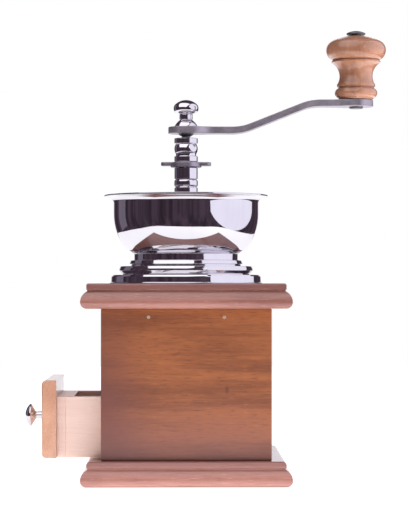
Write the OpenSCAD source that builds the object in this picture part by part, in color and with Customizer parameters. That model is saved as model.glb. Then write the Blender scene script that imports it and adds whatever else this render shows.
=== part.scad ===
// Box coffee mill with a turned crank knob, a plated hopper and a drawer that stands part open.
// Millimetres, +Z up, origin at the centre of the base board's underside.
// The crank points along +X and the drawer pulls out along -X.

/* [Boards] */
// Width and depth of the base board and the top board
board_w = 125; // [118:1:132]
// Thickness of a board below its raised step
slab_t = 11; // [9:0.5:14]
// Height of the raised step on a board
step_t = 4; // [3:0.5:6]
// Distance from a board's edge to its raised step
step_in = 3.5; // [2:0.5:6]
// Rounding of a board's lower edge
edge_low_r = 2; // [1:0.5:4]
// Rounding of a board's upper edge
edge_top_r = 4; // [1:0.5:4.5]
// Rounding of the raised step's edge
step_edge_r = 1; // [0.5:0.1:2]

/* [Case] */
// Width and depth of the case
case_w = 101.4; // [97:0.2:106]
// Height of the case walls
case_h = 90; // [84:1:110]
// Thickness of the case walls
wall_t = 9; // [8:0.5:10.5]
// Width of the battens under the top board
batten_w = 8; // [6:0.5:9]
// Height of the battens under the top board
batten_h = 10; // [9:0.5:14]
// Radius of the brads that hold the battens
brad_r = 1.2; // [0.8:0.1:1.6]
// Length of a brad
brad_len = 14; // [11:0.5:15]
// Distance between the two brads of a side
brad_spread = 45; // [30:1:60]
// Distance from the top of the case down to the brads
brad_drop = 5; // [3:0.5:6]
// How far a brad's head stands proud of the wall
brad_proud = 0.3; // [0.1:0.1:0.6]

/* [Drawer] */
// Width of the stained drawer face, on a case of the usual width
face_w = 80; // [74:1:88]
// Height of the stained drawer face
face_h = 46.5; // [42:0.5:56]
// Thickness of the stained drawer face
face_t = 8.9; // [7:0.1:12]
// Rounding of the face's outer edges
face_edge_r = 3; // [1:0.5:5]
// How far the drawer stands open
drawer_open = 27; // [5:1:45]
// Width of the drawer box, in a case of the usual width
box_w = 68; // [60:1:72]
// Height of the drawer box
box_h = 36.5; // [30:0.5:40]
// Thickness of the box's sides and back
box_t = 5; // [4:0.5:7]
// Thickness of the box's inner front
box_front_t = 10; // [8:0.5:14]
// How far the sides lap over the inner front's ends
box_lap = 5; // [3:0.5:6]
// Thickness of the drawer's floor
box_floor_t = 3; // [2:0.5:4]
// Height of the floor above the box's lower edge
floor_lift = 3; // [2:0.5:6]
// Depth of the grooves that hold the floor
groove_d = 2.5; // [1:0.5:3]
// Room behind the closed drawer
back_room = 5; // [3:0.5:12]
// Play between the drawer and its opening
drawer_play = 0.5; // [0.3:0.1:1]
// Height of the guide strips beside the drawer
guide_h = 12; // [8:1:25]
// Least width of the guide strips
guide_w = 6.5; // [4:0.5:9]

/* [Drawer pull] */
// Radius of the pull's head
pull_r = 7; // [5:0.5:9]
// Thickness of the pull's head
pull_head_h = 5.6; // [5:0.1:7]
// Radius of the pull's stem
pull_stem_r = 2.8; // [2.4:0.1:4]
// Length of the pull's stem
pull_stem_h = 7; // [4:0.5:10]
// Radius of the pull's screw
pull_screw_r = 1.75; // [1.25:0.25:2]
// Radius of the pull's screw head
pull_screw_head_r = 3.6; // [3:0.2:4.4]
// Height of the pull's screw head
pull_screw_head_h = 2.2; // [1.6:0.2:3]

/* [Collar] */
// Radius of the collar's lowest ring
low_ring_r = 46.4; // [44:0.2:49]
// Height of the collar's lowest ring
low_ring_h = 5.3; // [4:0.1:7]
// Radius of the collar's middle ring
mid_ring_r = 41.5; // [40:0.1:43]
// Height of the collar's middle ring
mid_ring_h = 3.6; // [3:0.1:5]
// Radius of the collar's top ring
top_ring_r = 35.5; // [34.9:0.1:37]
// Height of the collar's top ring
top_ring_h = 3.6; // [3:0.1:4]
// Height of the grooves between the rings
ring_gap = 1.5; // [1:0.1:2.5]
// Depth of the groove under the middle ring
ring_gap_d = 4.3; // [2:0.1:4.5]
// Height of the neck under the hopper
neck_h = 2.5; // [1.5:0.1:4]
// Wall of the collar at its neck
neck_wall = 1.9; // [1.4:0.1:2.4]
// Thickness of the collar's top plate
plate_t = 3; // [2:0.25:4]

/* [Hopper] */
// Outer radius of the hopper's wall
bowl_r = 45; // [42:0.5:48]
// Height of the hopper
bowl_h = 36.4; // [32:0.2:44]
// Radius of the hopper's rim
rim_r = 50.9; // [50.5:0.1:54]
// Fillet between the wall and the rim
rim_fillet = 2.6; // [1.5:0.1:3.6]
// Height above the collar at which the wall starts to curve in
curve_z = 25; // [22:0.5:26]
// Radius of the hopper's foot edge
foot_r = 37.2; // [35.9:0.1:38]
// Height of the foot edge above the collar
foot_z = 3; // [1.5:0.1:3.5]
// Thickness of the hopper's sheet
sheet_t = 1; // [0.8:0.1:1.4]
// Radius of the throat that the beans fall through
throat_r = 22; // [20.5:0.1:22.5]

/* [Bridge and column] */
// Width of the bridge over the throat
bridge_w = 16; // [14:0.5:18]
// Thickness of the bridge
bridge_t = 3; // [2.5:0.1:4]
// Bearing of the bridge beyond the throat
bridge_seat = 9; // [8:0.1:9.5]
// Radius of the bridge screws
bridge_screw_r = 2; // [1.5:0.25:2.25]
// Height of the column above the bridge
column_h = 49.4; // [40:0.2:60]
// Outer radius of the column
column_r = 7.25; // [6.6:0.05:7.6]
// Radius of the flange that the column stands on
column_foot_r = 9.5; // [8.6:0.1:11]
// Thickness of the column's flange
column_foot_t = 3; // [2:0.5:5]
// Radius of the column's threaded spigot
spigot_r = 6; // [5.5:0.1:6.2]
// Thickness of the nut under the bridge
column_nut_t = 5; // [4:0.5:7]
// Width across the flats of the nut under the bridge
column_nut_af = 18; // [16:0.5:20]
// Length of the spring over the grinding cone
spring_h = 10; // [8:0.5:14]
// Radius of the spring's wire
spring_wire_r = 0.6; // [0.5:0.05:0.7]
// Radius of the spring's coil, at the wire's centre
spring_coil_r = 6.4; // [5.6:0.1:6.8]
// Number of curls in the spring
spring_curls = 4; // [3:1:4]

/* [Burrs] */
// Radius of the burr ring's flange
ring_flange_r = 29.8; // [29:0.1:30.2]
// Thickness of the burr ring's flange
ring_flange_t = 4; // [3:0.25:6]
// Outer radius of the burr ring's body
ring_body_r = 24.5; // [23.5:0.1:26]
// Least radius inside the burr ring
ring_waist_r = 14.6; // [14:0.1:15.5]
// Radius of the grinding cone at its lower edge
cone_r = 17.6; // [16.5:0.1:18]
// Radius of the grinding cone at its top
cone_top_r = 8; // [7.6:0.1:9]
// Height of the grinding cone
cone_h = 24; // [22:0.5:28]
// Height of the cone's fine grinding part
cone_fine_h = 12; // [9:0.5:14]
// Grinding gap at the lower edge
grind_gap = 0.6; // [0.5:0.05:1.2]
// Number of flutes in the cone
flutes = 10; // [6:1:14]
// Radius of a flute
flute_r = 1.5; // [1:0.1:2]

/* [Shaft] */
// Radius of the shaft in its bearings
shaft_r = 4; // [3.8:0.05:4.2]
// Half the width across the shaft's flats
flat_half = 3.2; // [3.1:0.05:3.4]
// Radius of the shaft's thread
thread_r = 3; // [2.75:0.05:3]
// Radial clearance of a running fit
run_fit = 0.06; // [0.04:0.01:0.1]
// Radial clearance of a fixed pin or screw
pin_fit = 0.05; // [0.02:0.01:0.1]
// Gap between faces that turn on each other
turn_gap = 0.3; // [0.2:0.05:0.5]
// Room above the adjusting nut, for its travel
adjust_room = 1.4; // [1.3:0.1:2.5]
// Width across the flats of the nut under the cone
cone_nut_af = 10; // [8.5:0.5:13]
// Thickness of the nut under the cone
cone_nut_t = 5; // [4:0.5:7]
// Radius of the washer under the cone
washer_r = 7; // [6:0.5:9]
// Thickness of the washer under the cone
washer_t = 1; // [0.8:0.1:2]

/* [Adjuster] */
// Radius of the lock plate's disc
lock_r = 9.6; // [8.5:0.1:11]
// Thickness of the lock plate's disc
lock_t = 3.2; // [2.6:0.1:4.5]
// Reach of the lock plate's wings from the axis
wing_reach = 15.5; // [13.5:0.1:18]
// Width of a wing
wing_w = 9; // [6:0.5:11]
// Thickness of a wing
wing_t = 2.2; // [1.4:0.1:2.4]
// Radius of the adjusting nut
nut_r = 7.3; // [6.6:0.05:8]
// Height of the adjusting nut
nut_h = 14.6; // [12:0.1:18]
// Height of the adjusting nut's end rings
nut_ring_h = 3.4; // [2.5:0.1:4]

/* [Crank] */
// Distance from the shaft to the knob's axis
crank_len = 105.4; // [96:0.2:120]
// Thickness of the crank's bar
bar_t = 4.1; // [3:0.1:5]
// Width of the crank's bar
bar_w = 12; // [10:0.5:14]
// Radius of the eye on the shaft
hub_r = 11; // [9.5:0.1:13]
// Radius of the eye under the knob
tip_r = 10.6; // [9:0.1:12]
// Fillet between an eye and the bar
eye_fillet = 8; // [4:0.5:10]
// Rise of the crank
crank_rise = 16.8; // [10:0.2:22]
// Slope of the crank's rising part
crank_slope = 21.6; // [18:0.1:28]
// Inner radius of the crank's bends
bend_r = 12; // [6:0.5:14]
// Distance from the shaft to the first bend
bend_x = 32; // [24:0.5:36]
// Radius of the spacer under the crank
spacer_r = 4.75; // [4.4:0.05:6]
// Thickness of the spacer under the crank
spacer_t = 1.4; // [1:0.1:3]

/* [Finial] */
// Radius of the finial's foot
finial_foot_r = 8; // [6:0.1:9]
// Radius of the finial's neck
finial_neck_r = 4.4; // [4:0.1:5]
// Radius of the finial's bulb
finial_r = 7.8; // [7.4:0.1:9]
// Rounding of the bulb's edge
finial_edge_r = 3.6; // [2.6:0.1:3.7]
// Height of the bulb's widest part above the crank
finial_mid = 11.7; // [10.5:0.1:13]
// Height of the finial
finial_h = 17; // [16.6:0.1:20]

/* [Knob] */
// Height of the wooden knob
knob_h = 40; // [39:0.2:42]
// Radius of the knob's bulge
knob_r = 18.6; // [17:0.1:20]
// Rounding of the bulge
knob_edge_r = 6; // [5.4:0.1:6.2]
// Height of the bulge's widest part
knob_mid = 30.8; // [30.6:0.1:31.5]
// Radius of the ring under the bulge
knob_ring_r = 15.2; // [14.4:0.1:16]
// Radius of the knob's waist
knob_waist_r = 10.3; // [8.5:0.1:10.5]
// Radius of the waist's hollow
knob_hollow_r = 9.5; // [9.1:0.1:10.5]
// Height of the waist
knob_waist_z = 14.7; // [14.4:0.1:15]
// Radius of the knob's lower bead
knob_bead_r = 13.2; // [12.6:0.1:14.5]
// Height of the knob's lower bead
knob_bead_h = 6.6; // [6:0.1:6.8]
// Radius of the bolt through the knob
bolt_r = 3; // [2.5:0.1:3.5]
// Radius of the bolt's domed cap
cap_r = 5.9; // [5:0.1:7]
// Height of the bolt's domed cap
cap_h = 2.4; // [2:0.1:3.5]
// Radius of the bolt's riveted end
rivet_r = 4.2; // [3.8:0.1:5]
// Height of the bolt's riveted end
rivet_h = 1.2; // [0.8:0.1:2]

/* [Case screws] */
// Radius of the screws through the base board
base_screw_r = 1.9; // [1.5:0.1:2.3]
// Radius of their countersunk heads
base_head_r = 3.8; // [3.2:0.1:4.4]
// Length of these screws
base_screw_len = 32; // [24:1:45]
// How deep their heads are sunk
base_head_sink = 0.4; // [0.2:0.1:1]
// Distance from these screws to the ends of the walls
base_screw_in = 15; // [10:1:30]
// Radius of the screws through the top board
mill_screw_r = 2; // [1.5:0.25:2.25]
// Radius of their heads
mill_head_r = 3.6; // [3:0.1:4.2]
// Height of their heads
mill_head_h = 2.6; // [2:0.1:3.5]
// Distance from the axis to these screws
mill_screw_at = 36; // [34.5:0.1:37]
// How far they reach into the collar
mill_screw_grip = 4; // [2.5:0.1:4.5]

/* [Hidden] */
$fn = 96;
over = 1;

wood = "#a9683f";
board_wood = "#b5795f";
pale_wood = "#f0d3c2";
face_wood = "#d99a70";
knob_wood = "#c98a60";
chrome = "#c9c9d2";
steel = "#8a8790";
dark_steel = "#57525a";
iron = "#4c4a4b";
brass = "#d8c08a";

// Levels of the case
z_base = slab_t + step_t;
z_case = z_base + case_h;
z_mill = z_case + slab_t + step_t;
inner_half = case_w / 2 - wall_t;

// Levels of the collar
z_ring_a = z_mill + low_ring_h;
z_ring_b = z_ring_a + ring_gap;
z_ring_c = z_ring_b + mid_ring_h;
z_ring_d = z_ring_c + ring_gap;
z_ring_e = z_ring_d + top_ring_h;
z_collar = z_ring_e + neck_h;
flange_play = 0.5;
collar_bore = ring_flange_r + flange_play;
neck_r = collar_bore + neck_wall;
foot_lip = 1.1;

// Levels inside the hopper
z_floor = z_collar + sheet_t;
z_bridge = z_floor + bridge_t;
z_rim = z_collar + bowl_h;
bridge_reach = throat_r + bridge_seat;
bridge_screw_at = throat_r + bridge_seat / 2;
bridge_head_lip = 1.6;
bridge_head_r = bridge_screw_r + bridge_head_lip;
bridge_head_h = 2.2;
z_spigot = z_floor - column_nut_t;
z_column = z_bridge + column_h;

// Levels of the burrs
z_flange_top = z_collar - plate_t;
z_flange = z_flange_top - ring_flange_t;
z_cone_top = z_spigot - spring_h;
z_cone = z_cone_top - cone_h;
z_fine = z_cone + cone_fine_h;
ring_rise = 0.6;
ring_room = 3;
coarse_gap = 2.6;
cone_waist_r = ring_waist_r - coarse_gap;
fine_slope = (cone_r - cone_waist_r) / cone_fine_h;

// Levels of the shaft
z_lock = z_column + turn_gap;
z_nut = z_lock + lock_t + turn_gap;
z_nut_top = z_nut + nut_h;
z_spacer = z_nut_top + adjust_room;
z_arm = z_spacer + spacer_t;
z_finial = z_arm + bar_t;
z_tip = z_arm + crank_rise;
z_knob = z_tip + bar_t + turn_gap;
z_cap = z_knob + knob_h + turn_gap;
key_low = 5;
key_high = 2.2;
arm_flat_half = thread_r - 0.5;
finial_grip = finial_mid;
thread_tail = 1;
z_shaft = z_cone - washer_t - cone_nut_t - thread_tail;

// Places of the drawer
z_drawer = z_base + drawer_play;
x_face = -case_w / 2 - drawer_open;
box_len = case_w - wall_t - back_room;
case_usual = 101.4;
case_more = case_w - case_usual;
drawer_w = box_w + case_more;
front_w = face_w + case_more;
box_half = drawer_w / 2;
guide_in = box_half + drawer_play;
guide_out = max(inner_half, guide_in + guide_w);
head_room = 0.5;
x_box_end = x_face + box_len;
z_pull = z_drawer + face_h / 2;
x_pull = x_face - face_t;
pull_blind = 1;
pull_grip = pull_stem_h - pull_blind;

// Points along an arc about (x, y), from one angle to another
function arc(x, y, r, from, to, n = 8) =
  [for (i = [0 : n]) [x + r * cos(from + (to - from) * i / n), y + r * sin(from + (to - from) * i / n)]];

// Half outline of a domed button: its rim is rounded by e and centred at height z
function dome_drop(r, e, top) = (pow(r - e, 2) - pow(top - e, 2)) / (2 * (top - e));
function dome_turn(r, e, top) = atan2(dome_drop(r, e, top), r - e);
function button(r, e, top, z, from = -90) = concat(
  arc(r - e, z, e, from, dome_turn(r, e, top), 10),
  arc(0, z - dome_drop(r, e, top), top + dome_drop(r, e, top), dome_turn(r, e, top), 90, 10));

// Outline of a board's cross-section, w wide and h high
function rounded_section(w, h, low_r, top_r) = concat(
  arc(w / 2 - low_r, low_r, low_r, -90, 0, 6),
  arc(w / 2 - top_r, h - top_r, top_r, 0, 90, 6),
  arc(-w / 2 + top_r, h - top_r, top_r, 90, 180, 6),
  arc(-w / 2 + low_r, low_r, low_r, 180, 270, 6));

module lathe(points) {
  rotate_extrude() polygon(points);
}

module ring(r, bore, h) {
  difference() {
    cylinder(r = r, h = h);
    translate([0, 0, -over]) cylinder(r = bore, h = h + 2 * over);
  }
}

module section_along_x(w) {
  rotate([90, 0, 90]) linear_extrude(height = w, center = true) children();
}

module section_along_y(w) {
  rotate([90, 0, 0]) linear_extrude(height = w, center = true) children();
}

module keyed_bar(r, half, h) {
  intersection() {
    cylinder(r = r, h = h);
    translate([-r - over, -half, -over]) cube([2 * (r + over), 2 * half, h + 2 * over]);
  }
}

// Boards and case

module board_section() {
  polygon(rounded_section(board_w, slab_t, edge_low_r, edge_top_r));
  translate([0, slab_t / 2])
    polygon(rounded_section(board_w - 2 * step_in, slab_t / 2 + step_t, step_edge_r, step_edge_r));
}

module board() {
  intersection() {
    section_along_x(board_w + 2 * over) board_section();
    section_along_y(board_w + 2 * over) board_section();
  }
}

module at_base_screws() {
  for (x = [-1, 1], y = [-1, 1])
    translate([x * (case_w / 2 - base_screw_in), y * (case_w / 2 - wall_t / 2), base_head_sink]) children();
}

module at_mill_screws() {
  for (a = [45 : 90 : 315]) rotate([0, 0, a]) translate([mill_screw_at, 0, 0]) children();
}

module base_screw(grow) {
  lathe([
    [0, 0], [base_head_r + grow, 0], [base_screw_r + grow, base_head_r - base_screw_r],
    [base_screw_r + grow, base_screw_len], [0, base_screw_len + grow]
  ]);
}

module base_board() {
  color(board_wood) difference() {
    board();
    at_base_screws() base_screw(pin_fit);
    at_base_screws() translate([0, 0, -base_head_sink - over])
      cylinder(r = base_head_r + pin_fit, h = base_head_sink + over);
  }
}

module base_screws() {
  color(steel) at_base_screws() base_screw(0);
}

module top_board() {
  color(board_wood) difference() {
    translate([0, 0, z_case]) board();
    translate([0, 0, z_case - over]) cylinder(r = ring_body_r + ring_room, h = slab_t + step_t + 2 * over);
    at_mill_screws() translate([0, 0, z_case - over])
      cylinder(r = mill_screw_r + pin_fit, h = slab_t + step_t + 2 * over);
  }
}

module mill_screws() {
  color(steel) at_mill_screws() translate([0, 0, z_case - mill_head_h]) {
    cylinder(r = mill_head_r, h = mill_head_h);
    cylinder(r = mill_screw_r, h = mill_head_h + slab_t + step_t + mill_screw_grip);
  }
}

module at_brads(side) {
  for (x = [-1, 1])
    translate([x * brad_spread / 2, side * (case_w / 2 + brad_proud), z_case - brad_drop])
      rotate([side * 90, 0, 0]) children();
}

module brad_holes(side) {
  at_brads(side) translate([0, 0, -over]) cylinder(r = brad_r + pin_fit, h = brad_len + over + pin_fit);
}

module side_panel(side) {
  difference() {
    translate([-case_w / 2, side * (case_w / 2 - wall_t / 2) - wall_t / 2, z_base])
      cube([case_w, wall_t, case_h]);
    brad_holes(side);
    at_base_screws() base_screw(pin_fit);
    if (guide_out > inner_half) guide_strip(side, pin_fit);
  }
}

module side_panel_near() {
  color(wood) side_panel(-1);
}

module side_panel_far() {
  color(wood) side_panel(1);
}

module front_panel() {
  opening_w = drawer_w + 2 * drawer_play;
  opening_h = box_h + 2 * drawer_play;
  color(wood) difference() {
    translate([-case_w / 2, -inner_half, z_base]) cube([wall_t, 2 * inner_half, case_h]);
    translate([-case_w / 2 - over, -opening_w / 2, z_base - over])
      cube([wall_t + 2 * over, opening_w, opening_h + over]);
  }
}

module back_panel() {
  color(wood) translate([case_w / 2 - wall_t, -inner_half, z_base]) cube([wall_t, 2 * inner_half, case_h]);
}

module top_battens() {
  color(pale_wood) for (side = [-1, 1]) difference() {
    translate([-inner_half, side * (inner_half - batten_w / 2) - batten_w / 2, z_case - batten_h])
      cube([2 * inner_half, batten_w, batten_h]);
    brad_holes(side);
    at_mill_screws() translate([0, 0, z_case - batten_h - over])
      cylinder(r = mill_head_r + head_room, h = batten_h + 2 * over);
  }
}

module brads() {
  color(brass) for (side = [-1, 1]) at_brads(side) cylinder(r = brad_r, h = brad_len);
}

module guide_strip(side, grow) {
  from = min(side * guide_in, side * guide_out);
  translate([-inner_half - grow, from - grow, z_base - grow])
    cube([2 * (inner_half + grow), guide_out - guide_in + 2 * grow, guide_h + 2 * grow]);
}

module drawer_guides() {
  color(pale_wood) for (side = [-1, 1]) difference() {
    guide_strip(side, 0);
    at_base_screws() base_screw(pin_fit);
  }
}

// Hopper and mill

module collar() {
  lip_h = 0.8;
  lip_slope = 0.8;
  edge = 0.3;
  bead_r = top_ring_h / 2;
  bead_in = 2.1;
  outline = concat(
    [
      [collar_bore, z_mill], [low_ring_r + foot_lip, z_mill], [low_ring_r + foot_lip, z_mill + lip_h],
      [low_ring_r, z_mill + lip_h + lip_slope], [low_ring_r, z_ring_a - edge], [low_ring_r - edge, z_ring_a],
      [mid_ring_r - ring_gap_d, z_ring_a], [mid_ring_r - ring_gap_d, z_ring_b], [mid_ring_r - edge, z_ring_b],
      [mid_ring_r, z_ring_b + edge], [mid_ring_r, z_ring_c - edge], [mid_ring_r - edge, z_ring_c],
      [top_ring_r - bead_in, z_ring_c]
    ],
    arc(top_ring_r - bead_r, z_ring_d + bead_r, bead_r, -90, 90, 12),
    [
      [neck_r, z_ring_e], [neck_r, z_collar], [throat_r, z_collar], [throat_r, z_flange_top],
      [collar_bore, z_flange_top]
    ]
  );
  color(chrome) difference() {
    lathe(outline);
    at_mill_screws() translate([0, 0, z_mill - over])
      cylinder(r = mill_screw_r + pin_fit, h = mill_screw_grip + over + pin_fit);
    bridge_screw_holes(bridge_screw_r + pin_fit);
  }
}

// Curve of the hopper, from its upright wall to its foot edge
curve_in = bowl_r - foot_r;
curve_rise = curve_z - foot_z;
curve_r = (curve_rise * curve_rise + curve_in * curve_in) / (2 * curve_in);
curve_turn = atan2(curve_rise, curve_r - curve_in);
curve_at = [bowl_r - curve_r, z_collar + curve_z];

module hopper_bowl() {
  edge = sheet_t * 0.3;
  rim_out = max(rim_r, bowl_r + rim_fillet + 3 * edge);
  flat_r = neck_r + 0.9;
  z_flare = z_rim - sheet_t - rim_fillet;
  flat_in = [flat_r - 0.6 * sheet_t, z_floor];
  outline = concat(
    [[throat_r, z_collar], [flat_r, z_collar]],
    arc(curve_at[0], curve_at[1], curve_r, -curve_turn, 0, 12),
    arc(bowl_r + rim_fillet, z_flare, rim_fillet, 180, 90),
    [
      [rim_out - edge, z_rim - sheet_t], [rim_out, z_rim - sheet_t + edge], [rim_out, z_rim - edge],
      [rim_out - edge, z_rim]
    ],
    arc(bowl_r + rim_fillet, z_flare, rim_fillet + sheet_t, 90, 180),
    arc(curve_at[0], curve_at[1], curve_r - sheet_t, 0, -curve_turn, 12),
    [flat_in, [throat_r, z_floor]]
  );
  color(chrome) difference() {
    lathe(outline);
    bridge_screw_holes(bridge_screw_r + pin_fit);
  }
}

module at_bridge_screws() {
  for (x = [-1, 1]) translate([x * bridge_screw_at, 0, z_bridge]) children();
}

bridge_screw_short = 0.6;
bridge_screw_grip = z_bridge - z_flange_top + ring_flange_t - bridge_screw_short;

module bridge_screw_holes(r) {
  at_bridge_screws() translate([0, 0, -bridge_screw_grip - pin_fit])
    cylinder(r = r, h = bridge_screw_grip + pin_fit + over);
}

module bridge() {
  color(steel) difference() {
    translate([0, 0, z_floor]) linear_extrude(height = bridge_t) {
      square([2 * bridge_reach - bridge_w, bridge_w], center = true);
      for (x = [-1, 1]) translate([x * (bridge_reach - bridge_w / 2), 0]) circle(r = bridge_w / 2);
    }
    translate([0, 0, z_floor - over]) cylinder(r = spigot_r + pin_fit, h = bridge_t + 2 * over);
    bridge_screw_holes(bridge_screw_r + pin_fit);
  }
}

module bridge_screws() {
  color(steel) at_bridge_screws() {
    cylinder(r = bridge_head_r, h = bridge_head_h);
    translate([0, 0, -bridge_screw_grip])
      cylinder(r = bridge_screw_r, h = bridge_screw_grip + bridge_head_h / 2);
  }
}

module column() {
  bead_top = 7;
  bead_h = 5;
  foot_h = 3.6;
  waist = 0.75;
  groove = 0.2;
  bearing = 9;
  relief = 0.7;
  z_bead = z_column - bead_top - bead_h / 2;
  z_foot = z_column - bead_top - bead_h;
  outline = concat(
    [
      [shaft_r + run_fit, z_spigot], [spigot_r, z_spigot], [spigot_r, z_bridge], [column_foot_r, z_bridge],
      [column_foot_r, z_bridge + column_foot_t], [column_r, z_bridge + column_foot_t],
      [column_r, z_foot - foot_h], [column_r + groove, z_foot - foot_h], [column_r - groove, z_foot - groove]
    ],
    [for (i = [0 : 10])
      [column_r - waist + (waist - groove / 2) * sin(18 * i), z_bead + bead_h * (i / 10 - 0.5)]],
    [
      [column_r, z_column - bead_top + groove], [column_r, z_column - groove], [column_r - groove, z_column],
      [shaft_r + run_fit, z_column], [shaft_r + run_fit, z_column - bearing],
      [shaft_r + relief, z_column - bearing - relief], [shaft_r + relief, z_bridge + bearing / 2 + relief],
      [shaft_r + run_fit, z_bridge + bearing / 2]
    ]
  );
  color(chrome) lathe(outline);
}

module column_nut() {
  color(steel) translate([0, 0, z_spigot]) difference() {
    cylinder(r = column_nut_af / 2 / cos(30), h = column_nut_t, $fn = 6);
    translate([0, 0, -over]) cylinder(r = spigot_r + pin_fit, h = column_nut_t + 2 * over);
  }
}

// Spring between the nut and the cone: one wire, swept along a helix
spring_sides = 6;
spring_rings = 8;
spring_steps = spring_curls * spring_rings;
spring_last = spring_steps * spring_sides;
spring_play = 0.1;
spring_low = z_cone_top + spring_play + spring_wire_r;
spring_rise = spring_h - 2 * spring_play - 2 * spring_wire_r;
spring_at = [for (i = [0 : spring_steps]) let (turn = 360 * i / spring_rings)
  [spring_coil_r * cos(turn), spring_coil_r * sin(turn), spring_low + spring_rise * i / spring_steps]];
spring_points = [for (i = [0 : spring_steps], k = [0 : spring_sides - 1])
  let (turn = 360 * i / spring_rings, a = 360 * k / spring_sides)
  let (reach = spring_coil_r + spring_wire_r * cos(a))
  [reach * cos(turn), reach * sin(turn), spring_at[i][2] + spring_wire_r * sin(a)]];
spring_faces = concat(
  [for (i = [0 : spring_steps - 1], k = [0 : spring_sides - 1], half = [0, 1])
    let (j = (k + 1) % spring_sides, p = i * spring_sides, q = p + spring_sides)
    half == 0 ? [p + k, q + k, q + j] : [p + k, q + j, p + j]],
  [for (k = [1 : spring_sides - 2]) [0, k, k + 1]],
  [for (k = [1 : spring_sides - 2]) [spring_last, spring_last + k + 1, spring_last + k]]
);
spring_gap = min([for (i = [0 : spring_steps], j = [0 : spring_steps])
  if (j - i >= spring_rings / 2) norm(spring_at[j] - spring_at[i]) - 2 * spring_wire_r]);
echo(spring_least_gap = spring_gap);

module spring() {
  color(steel) polyhedron(points = spring_points, faces = spring_faces);
}

module burr_ring() {
  r_low = cone_r + grind_gap - fine_slope * ring_rise;
  mouth_lip = 0.5;
  waist_h = 1;
  color(iron) difference() {
    lathe([
      [r_low, z_cone + ring_rise], [ring_body_r, z_cone + ring_rise], [ring_body_r, z_flange],
      [ring_flange_r, z_flange], [ring_flange_r, z_flange_top], [throat_r - mouth_lip, z_flange_top],
      [ring_waist_r, z_fine + waist_h], [ring_waist_r, z_fine]
    ]);
    bridge_screw_holes(bridge_screw_r + pin_fit);
  }
}

module grinding_cone() {
  crown_h = 1;
  color(iron) translate([0, 0, z_cone]) difference() {
    lathe([
      [0, 0], [cone_r, 0], [cone_waist_r, cone_fine_h], [cone_top_r, cone_h - crown_h],
      [cone_top_r, cone_h], [0, cone_h]
    ]);
    translate([0, 0, -over]) keyed_bar(shaft_r + pin_fit, flat_half + pin_fit, cone_h + 2 * over);
    for (i = [0 : flutes - 1]) rotate([0, 0, 360 * i / flutes])
      translate([cone_r - flute_r / 2, 0, -over]) cylinder(r = flute_r, h = cone_fine_h + over);
  }
}

// Shaft and crank

module shaft() {
  color(steel) {
    translate([0, 0, z_shaft]) cylinder(r = thread_r, h = z_cone - z_shaft);
    translate([0, 0, z_cone]) keyed_bar(shaft_r, flat_half, cone_h);
    translate([0, 0, z_cone_top]) cylinder(r = shaft_r, h = z_lock - key_low - z_cone_top);
    translate([0, 0, z_lock - key_low])
      keyed_bar(shaft_r, flat_half, key_low + lock_t + turn_gap + key_high);
    translate([0, 0, z_nut + key_high]) cylinder(r = thread_r, h = z_arm - z_nut - key_high);
    translate([0, 0, z_arm]) keyed_bar(thread_r, arm_flat_half, bar_t + finial_grip);
  }
}

module cone_washer() {
  color(steel) translate([0, 0, z_cone - washer_t]) ring(washer_r, thread_r + pin_fit, washer_t);
}

module cone_nut() {
  color(steel) translate([0, 0, z_cone - washer_t - cone_nut_t]) difference() {
    cylinder(r = cone_nut_af / 2 / cos(30), h = cone_nut_t, $fn = 6);
    translate([0, 0, -over]) cylinder(r = thread_r + pin_fit, h = cone_nut_t + 2 * over);
  }
}

module lock_plate() {
  tip = wing_w / 3;
  color(steel) difference() {
    union() {
      translate([0, 0, z_lock]) cylinder(r = lock_r, h = lock_t);
      translate([0, 0, z_lock + lock_t - wing_t]) linear_extrude(height = wing_t)
        polygon([
          [wing_reach, -wing_w / 2 + tip], [wing_reach, wing_w / 2 - tip], [wing_reach - tip, wing_w / 2],
          [-wing_reach + tip, wing_w / 2], [-wing_reach, wing_w / 2 - tip], [-wing_reach, -wing_w / 2 + tip],
          [-wing_reach + tip, -wing_w / 2], [wing_reach - tip, -wing_w / 2]
        ]);
    }
    translate([0, 0, z_lock - over]) keyed_bar(shaft_r + run_fit, flat_half + run_fit, lock_t + 2 * over);
  }
}

module adjusting_nut() {
  edge = 0.25;
  waist = 0.9;
  groove = 0.5;
  key_room = 1;
  mid_low = nut_ring_h + groove;
  mid_h = nut_h - 2 * mid_low;
  outline = concat(
    [
      [shaft_r + turn_gap, 0], [nut_r - edge, 0], [nut_r, edge], [nut_r, nut_ring_h - edge],
      [nut_r - edge, nut_ring_h]
    ],
    [for (i = [0 : 10]) [nut_r - waist + (waist - edge) * sin(18 * i), mid_low + mid_h * i / 10]],
    [
      [nut_r - edge, nut_h - nut_ring_h], [nut_r, nut_h - nut_ring_h + edge], [nut_r, nut_h - edge],
      [nut_r - edge, nut_h], [thread_r + run_fit, nut_h], [thread_r + run_fit, key_high + key_room],
      [shaft_r + turn_gap, key_high + key_room]
    ]
  );
  color(chrome) translate([0, 0, z_nut]) lathe(outline);
}

module arm_spacer() {
  color(dark_steel) translate([0, 0, z_spacer]) ring(spacer_r, thread_r + pin_fit, spacer_t);
}

// Side view of the crank: a flat bar with two bends
bend_sum = 2 * bend_r + bar_t;
slope_len = (crank_rise - bend_sum * (1 - cos(crank_slope))) / sin(crank_slope);
slope_from = [bend_x + (bend_r + bar_t) * sin(crank_slope), (bend_r + bar_t) * (1 - cos(crank_slope))];
slope_to = slope_from + slope_len * [cos(crank_slope), sin(crank_slope)];
bend_two = slope_to - bend_r * [-sin(crank_slope), cos(crank_slope)];

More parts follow.
